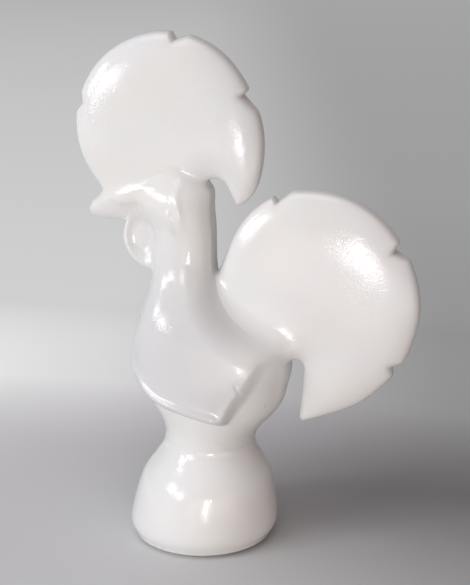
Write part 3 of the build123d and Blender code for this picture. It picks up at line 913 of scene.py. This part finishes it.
def bell_tree():
    """A thrown form: a round profile through named levels, walled, vented and leant to its waist."""
    tree = bpy.data.node_groups.new("thrown_bell", "GeometryNodeTree")
    tree.interface.new_socket("Mesh", in_out="OUTPUT", socket_type="NodeSocketGeometry")
    lengths = (
        "Rest Radius", "Edge Round", "Bulge Radius", "Bulge Height", "Shoulder Radius", "Shoulder Height",
        "Throat Radius", "Throat Height", "Waist Radius", "Waist Height", "Waist Setback", "Wall",
        "Vent Radius",
    )
    for name in lengths:
        tree.interface.new_socket(name, in_out="INPUT", socket_type="NodeSocketFloat")
    tree.interface.new_socket("Segments", in_out="INPUT", socket_type="NodeSocketInt")
    tree.interface.new_socket("Glaze", in_out="INPUT", socket_type="NodeSocketMaterial")
    size = {name: socket for name, socket in add(tree, "NodeGroupInput").outputs.items() if name}

    # Sizes that follow from the given ones: name, operation and its two terms
    places = ("Bulge", "Shoulder", "Throat", "Neck", "Collar", "Waist")
    levels = [(f"{place} Radius", f"{place} Height") for place in places]
    steps = [
        ("Ceiling", "SUBTRACT", "Waist Height", "Wall"),
        ("Lowering", "DIVIDE", "Ceiling", "Waist Height"),
        ("Rest Inner", "SUBTRACT", "Rest Radius", "Wall"),
        ("Rest Edge", "SUBTRACT", "Rest Radius", "Edge Round"),
        ("Edge Swell", "MULTIPLY", "Edge Round", 0.2),
        ("Edge Low Radius", "SUBTRACT", "Rest Radius", "Edge Swell"),
        ("Edge Low Height", "MULTIPLY", "Edge Round", 0.45),
        ("Edge High Radius", "ADD", "Rest Radius", "Edge Swell"),
        ("Neck Radius", "MULTIPLY", "Waist Radius", 1.07),
        ("Neck Drop", "MULTIPLY", "Wall", 1.2),
        ("Neck Height", "SUBTRACT", "Waist Height", "Neck Drop"),
        ("Collar Radius", "MULTIPLY", "Waist Radius", 1.012),
        ("Collar Drop", "MULTIPLY", "Wall", 0.5),
        ("Collar Height", "SUBTRACT", "Waist Height", "Collar Drop"),
    ]
    for radius, height in levels:
        steps.append((f"Inner {radius}", "SUBTRACT", radius, "Wall"))
        steps.append((f"Inner {height}", "MULTIPLY", height, "Lowering"))
    for name, operation, *terms in steps:
        terms = {i: size.get(term, term) for i, term in enumerate(terms)}
        size[name] = add(tree, "ShaderNodeMath", terms, operation=operation).outputs[0]

    def profile(line, kind):
        """One line of the section through named levels, drawn from a ring of 1 mm that carries it round."""
        points = add(tree, "GeometryNodePoints", {"Count": len(line)})
        switch = add(tree, "GeometryNodeIndexSwitch", data_type="VECTOR")
        while len(switch.index_switch_items) < len(line):
            switch.index_switch_items.new()
        tree.links.new(add(tree, "GeometryNodeInputIndex").outputs[0], switch.inputs[0])
        for i, (radius, height) in enumerate(line):
            spot = add(tree, "ShaderNodeCombineXYZ", {"X": size[radius], "Y": size.get(height, height)})
            from_ring = add(
                tree, "ShaderNodeVectorMath", {0: spot.outputs[0], 1: (1.0, -1.0, 1.0), 2: (-MM, 0.0, 0.0)},
                operation="MULTIPLY_ADD",
            )
            tree.links.new(from_ring.outputs[0], switch.inputs[i + 1])
        moved = {"Geometry": points.outputs[0], "Position": switch.outputs[0]}
        placed = add(tree, "GeometryNodeSetPosition", moved)
        drawn = add(tree, "GeometryNodePointsToCurves", {"Points": placed.outputs[0]}).outputs[0]
        if kind == "POLY":
            return drawn
        drawn = add(tree, "GeometryNodeCurveSplineType", {"Curve": drawn}, spline_type=kind).outputs[0]
        fine = {"Geometry": drawn, "Resolution": CURVE_STEPS}
        return add(tree, "GeometryNodeSetSplineResolution", fine).outputs[0]

    edge = [("Rest Edge", 0.0), ("Edge Low Radius", "Edge Low Height"), ("Edge High Radius", "Edge Round")]
    hollow = [(f"Inner {radius}", f"Inner {height}") for radius, height in levels]
    rim = ("Rest Inner", 0.0)
    vent = [("Vent Radius", "Waist Height"), ("Vent Radius", "Ceiling")]
    lines = [
        profile(edge + levels, "CATMULL_ROM"),
        profile([rim, edge[0]], "POLY"),
        profile(hollow[::-1] + [rim], "CATMULL_ROM"),
        profile([levels[-1], *vent, ("Inner Waist Radius", "Ceiling")], "POLY"),
    ]
    section = add(tree, "GeometryNodeJoinGeometry")
    for line in lines:
        tree.links.new(line, section.inputs[0])
    ring = add(tree, "GeometryNodeCurvePrimitiveCircle", {"Resolution": size["Segments"], "Radius": MM})
    swept = {"Curve": ring.outputs[0], "Profile Curve": section.outputs[0]}
    body = add(tree, "GeometryNodeCurveToMesh", swept)
    whole = add(tree, "GeometryNodeMergeByDistance", {"Geometry": body.outputs[0], "Distance": WELD * MM})
    spot = add(tree, "GeometryNodeInputPosition").outputs[0]
    height = add(tree, "ShaderNodeSeparateXYZ", {0: spot}).outputs[2]
    rise = add(tree, "ShaderNodeMath", {0: height, 1: size["Waist Height"]}, operation="DIVIDE")
    lean = add(tree, "ShaderNodeMath", {0: rise.outputs[0], 1: size["Waist Setback"]}, operation="MULTIPLY")
    shift = add(tree, "ShaderNodeCombineXYZ", {"X": lean.outputs[0]})
    leant = add(tree, "GeometryNodeSetPosition", {"Geometry": whole.outputs[0], "Offset": shift.outputs[0]})
    turned = add(tree, "GeometryNodeFlipFaces", {"Mesh": leant.outputs[0]})
    plain = add(tree, "GeometryNodeRealizeInstances", {"Geometry": turned.outputs[0]})
    done = add(tree, "GeometryNodeSetMaterial", {"Geometry": plain.outputs[0], "Material": size["Glaze"]})
    add(tree, "NodeGroupOutput", {0: done.outputs[0]})
    return tree


# Settings

class BellFootSizes(bpy.types.PropertyGroup):
    """Sizes of the thrown foot."""

    rest_radius: FloatProperty(
        name="Rest radius", description="Radius where the foot meets the shelf", default=0.0405,
        unit="LENGTH")
    edge_round: FloatProperty(
        name="Edge round", description="Rounding of the lower edge", default=0.004, unit="LENGTH")
    bulge_radius: FloatProperty(
        name="Bulge radius", description="Largest radius", default=0.0438, unit="LENGTH")
    bulge_height: FloatProperty(
        name="Bulge height", description="Height of the largest radius", default=0.013, unit="LENGTH")
    shoulder_radius: FloatProperty(
        name="Shoulder radius", description="Radius where the bell turns in", default=0.0391, unit="LENGTH")
    shoulder_height: FloatProperty(
        name="Shoulder height", description="Height where the bell turns in", default=0.037, unit="LENGTH")
    throat_radius: FloatProperty(
        name="Throat radius", description="Radius under the waist", default=0.0318, unit="LENGTH")
    throat_height: FloatProperty(
        name="Throat height", description="Height of the throat", default=0.050, unit="LENGTH")
    waist_radius: FloatProperty(
        name="Waist radius", description="Radius at the joint with the belly", default=0.0266,
        unit="LENGTH")
    waist_height: FloatProperty(
        name="Waist height", description="Height of the joint with the belly", default=WAIST_Z * MM,
        unit="LENGTH")
    waist_setback: FloatProperty(
        name="Waist setback", description="How far the waist leans back", default=WAIST_X * MM,
        unit="LENGTH")
    wall: FloatProperty(
        name="Wall", description="Thickness of the wall", default=0.006, unit="LENGTH")
    vent_radius: FloatProperty(
        name="Vent radius", description="Radius of the hole into the belly", default=0.004, unit="LENGTH")
    segments: IntProperty(
        name="Segments", description="Divisions round the foot", default=224, min=24)


class SkinSizes(bpy.types.PropertyGroup):
    """Sizes shared by the moulded pieces."""

    pitch: FloatProperty(
        name="Pitch", description="Size of the mesh's cells", default=0.001, unit="LENGTH")
    wall: FloatProperty(
        name="Wall", description="Thickness of the moulded shells", default=0.004, unit="LENGTH")
    rim_round: FloatProperty(
        name="Rim round", description="Width of the rounding along the rims", default=0.0065, unit="LENGTH")
    nick_opening: FloatProperty(
        name="Nick opening", description="Width of the nicks at the rim", default=0.0095, unit="LENGTH")
    ledge_round: FloatProperty(
        name="Ledge round", description="Rounding of the lower edge of breast and wings", default=0.0055,
        unit="LENGTH")
    apron_flare: FloatProperty(
        name="Apron flare", description="How far the lower edge of breast and wings flares out",
        default=0.003, unit="LENGTH")
    wing_point_round: FloatProperty(
        name="Wing point round", description="Rounding of the point of a wing", default=0.005,
        unit="LENGTH")
    comb_crease: FloatProperty(
        name="Comb crease", description="Width of the filled crease round the comb", default=0.005,
        unit="LENGTH")
    beak_crease: FloatProperty(
        name="Beak crease", description="Width of the filled crease round the beak", default=0.008,
        unit="LENGTH")
    wattle_crease: FloatProperty(
        name="Wattle crease", description="Width of the filled crease round the wattle", default=0.0025,
        unit="LENGTH")
    waviness: FloatProperty(
        name="Waviness", description="Height of the unevenness of handwork", default=0.0005, unit="LENGTH")


class GlazeLook(bpy.types.PropertyGroup):
    """Colour and surface of the glaze."""

    glaze_colour: FloatVectorProperty(
        name="Glaze colour", description="Colour of the full glaze", subtype="COLOR", size=4,
        default=linear("E3E5E8"))
    thin_colour: FloatVectorProperty(
        name="Thin colour", description="Colour where the glaze runs thin", subtype="COLOR", size=4,
        default=linear("E7E4DC"))
    # Grey of the pooled glaze, which also serves as painted shade on breast, wings, neck and wattle
    pool_and_shade_colour: FloatVectorProperty(
        name="Pool colour", description="Colour where the glaze has pooled", subtype="COLOR", size=4,
        default=linear("D3D3D3"))
    speck_colour: FloatVectorProperty(
        name="Speck colour", description="Colour of the iron specks", subtype="COLOR", size=4,
        default=linear("6E665F"))
    roughness: FloatProperty(
        name="Roughness", description="Roughness of the fired surface", default=0.08, subtype="FACTOR")
    grain: FloatProperty(
        name="Grain", description="Width of the grain of the glaze", default=0.0009, unit="LENGTH")
    grain_depth: FloatProperty(
        name="Grain depth", description="Depth of the grain of the glaze", default=0.00009, unit="LENGTH")


# Operators

class ROOSTER_OT_bell_foot(bpy.types.Operator):
    """Throws the hollow bell that the bird stands on"""

    bl_idname = "rooster.bell_foot"
    bl_label = "Bell foot"

    def execute(self, context):
        sizes = context.scene.rooster_foot
        holder = bpy.data.objects.new("bell_foot_rule", bpy.data.meshes.new("bell_foot_rule"))
        context.scene.collection.objects.link(holder)
        rule = holder.modifiers.new("thrown_bell", "NODES")
        rule.node_group = bell_tree()
        for socket in rule.node_group.interface.items_tree:
            if socket.in_out == "INPUT":
                key = socket.name.lower().replace(" ", "_")
                rule[socket.identifier] = glaze() if key == "glaze" else getattr(sizes, key)
        mesh = bpy.data.meshes.new_from_object(holder.evaluated_get(context.evaluated_depsgraph_get()))
        holder.modifiers.clear()
        bpy.data.objects.remove(holder)
        mesh.shade_smooth()
        mesh.set_sharp_from_angle(angle=SHARP_ANGLE)
        finish_piece("bell_foot", mesh)
        return {"FINISHED"}


class ROOSTER_OT_belly_cup(bpy.types.Operator):
    """Sets the belly on the waist"""

    bl_idname = "rooster.belly_cup"
    bl_label = "Belly cup"

    def execute(self, context):
        skin_piece("belly_cup", "belly", 0)
        return {"FINISHED"}


class ROOSTER_OT_body_halves(bpy.types.Operator):
    """Lutes the two halves of breast, wings, neck and head"""

    bl_idname = "rooster.body_halves"
    bl_label = "Body halves"

    def execute(self, context):
        skin_piece("left_body_half", "body", -1)
        skin_piece("right_body_half", "body", 1)
        return {"FINISHED"}


class ROOSTER_OT_comb_halves(bpy.types.Operator):
    """Lutes the two halves of the comb"""

    bl_idname = "rooster.comb_halves"
    bl_label = "Comb halves"

    def execute(self, context):
        skin_piece("left_comb_half", "comb", -1)
        skin_piece("right_comb_half", "comb", 1)
        return {"FINISHED"}


class ROOSTER_OT_tail_halves(bpy.types.Operator):
    """Lutes the two halves of the tail"""

    bl_idname = "rooster.tail_halves"
    bl_label = "Tail halves"

    def execute(self, context):
        skin_piece("left_tail_half", "tail", -1)
        skin_piece("right_tail_half", "tail", 1)
        return {"FINISHED"}


class ROOSTER_OT_beak_and_wattle(bpy.types.Operator):
    """Sets beak and wattle on the head"""

    bl_idname = "rooster.beak_and_wattle"
    bl_label = "Beak and wattle"

    def execute(self, context):
        skin_piece("beak", "beak", 0)
        skin_piece("wattle", "wattle", 0)
        return {"FINISHED"}


def aim_from(holder, turn, rise, away):
    """Aims a camera or lamp: degrees from the bird's left towards its tail, degrees up, metres off."""
    turn, rise = np.radians(turn), np.radians(rise)
    back = Vector((np.sin(turn) * np.cos(rise), -np.cos(turn) * np.cos(rise), np.sin(rise)))
    holder.location = AIM + back * away
    holder.rotation_euler = (-back).to_track_quat("-Z", "Y").to_euler()


class ROOSTER_OT_stage(bpy.types.Operator):
    """Lays the floor, hangs the lamps and sets the camera"""

    bl_idname = "rooster.stage"
    bl_label = "Stage"

    def execute(self, context):
        scene = context.scene
        scene.view_settings.view_transform = "Standard"
        camera = bpy.data.objects.new("camera", bpy.data.cameras.new("camera"))
        camera.data.lens = CAMERA_LENS
        aim_from(camera, *CAMERA_PLACE)
        scene.collection.objects.link(camera)
        scene.camera = camera

        # A wide sheet of pale paper, laid flat so that nothing stands between the bird and any view
        paper = bpy.data.meshes.new("paper_floor")
        corners = [(x * PAPER_HALF, y * PAPER_HALF, 0) for x, y in ((-1, -1), (1, -1), (1, 1), (-1, 1))]
        paper.from_pydata(corners, [], [(0, 1, 2, 3)])
        paper.materials.append(paper_finish())
        floor = bpy.data.objects.new("paper_floor", paper)
        scene.collection.objects.link(floor)

        world = bpy.data.worlds.new("studio")
        scene.world = world
        world.use_nodes = True
        room = world.node_tree
        room.nodes.clear()
        # A room that is bright and cool on the left, dimmer and warm on the right; what the eye sees of it
        # is as plain as the paper
        facing = add(room, "ShaderNodeSeparateXYZ", {0: add(room, "ShaderNodeTexCoord").outputs["Generated"]})
        share = add(room, "ShaderNodeMapRange", {0: facing.outputs[0], 1: -ROOM_WIDTH, 2: ROOM_WIDTH})
        walls = add(
            room, "ShaderNodeMix",
            {"Factor": share.outputs[0], "A": linear(ROOM_LEFT), "B": linear(ROOM_RIGHT)},
            data_type="RGBA",
        )
        level = add(
            room, "ShaderNodeMapRange",
            {0: facing.outputs[1], 1: -ROOM_DEPTH, 2: ROOM_DEPTH, 3: ROOM_FRONT, 4: ROOM_REAR},
        )
        light = add(
            room, "ShaderNodeBackground", {"Color": walls.outputs["Result"], "Strength": level.outputs[0]}
        )
        backdrop = add(room, "ShaderNodeBackground", {"Color": linear(FAR_TONE)})
        both = add(room, "ShaderNodeMixShader", {0: seen(room), 1: light.outputs[0], 2: backdrop.outputs[0]})
        add(room, "ShaderNodeOutputWorld", {"Surface": both.outputs[0]})
        for name, spot, size, power, colour in LAMPS:
            lamp = bpy.data.lights.new(name, "AREA")
            lamp.shape = "RECTANGLE"
            lamp.size, lamp.size_y = size
            lamp.energy = power
            lamp.color = linear(colour)[:3]
            holder = bpy.data.objects.new(name, lamp)
            aim_from(holder, *spot)
            holder.visible_camera = False
            scene.collection.objects.link(holder)
        return {"FINISHED"}


STEPS = (
    ROOSTER_OT_stage, ROOSTER_OT_bell_foot, ROOSTER_OT_belly_cup, ROOSTER_OT_body_halves,
    ROOSTER_OT_comb_halves, ROOSTER_OT_tail_halves, ROOSTER_OT_beak_and_wattle,
)


class ROOSTER_PT_panel(bpy.types.Panel):
    """Lists the settings and the steps"""

    bl_idname = "ROOSTER_PT_panel"
    bl_label = "Rooster"
    bl_space_type = "VIEW_3D"
    bl_region_type = "UI"
    bl_category = "Rooster"

    def draw(self, context):
        for group in (context.scene.rooster_foot, context.scene.rooster_skin, context.scene.rooster_glaze):
            box = self.layout.box()
            for key in group.__annotations__:
                box.prop(group, key)
        for step in STEPS:
            self.layout.operator(step.bl_idname)


CLASSES = (BellFootSizes, SkinSizes, GlazeLook, *STEPS, ROOSTER_PT_panel)


def register():
    for entry in CLASSES:
        bpy.utils.register_class(entry)
    bpy.types.Scene.rooster_foot = PointerProperty(type=BellFootSizes)
    bpy.types.Scene.rooster_skin = PointerProperty(type=SkinSizes)
    bpy.types.Scene.rooster_glaze = PointerProperty(type=GlazeLook)


def unregister():
    del bpy.types.Scene.rooster_glaze, bpy.types.Scene.rooster_skin, bpy.types.Scene.rooster_foot
    for entry in reversed(CLASSES):
        bpy.utils.unregister_class(entry)


def main():
    register()
    bpy.ops.rooster.stage()
    bpy.ops.rooster.bell_foot()
    bpy.ops.rooster.belly_cup()
    bpy.ops.rooster.body_halves()
    bpy.ops.rooster.comb_halves()
    bpy.ops.rooster.tail_halves()
    bpy.ops.rooster.beak_and_wattle()


if __name__ == "__main__":
    main()
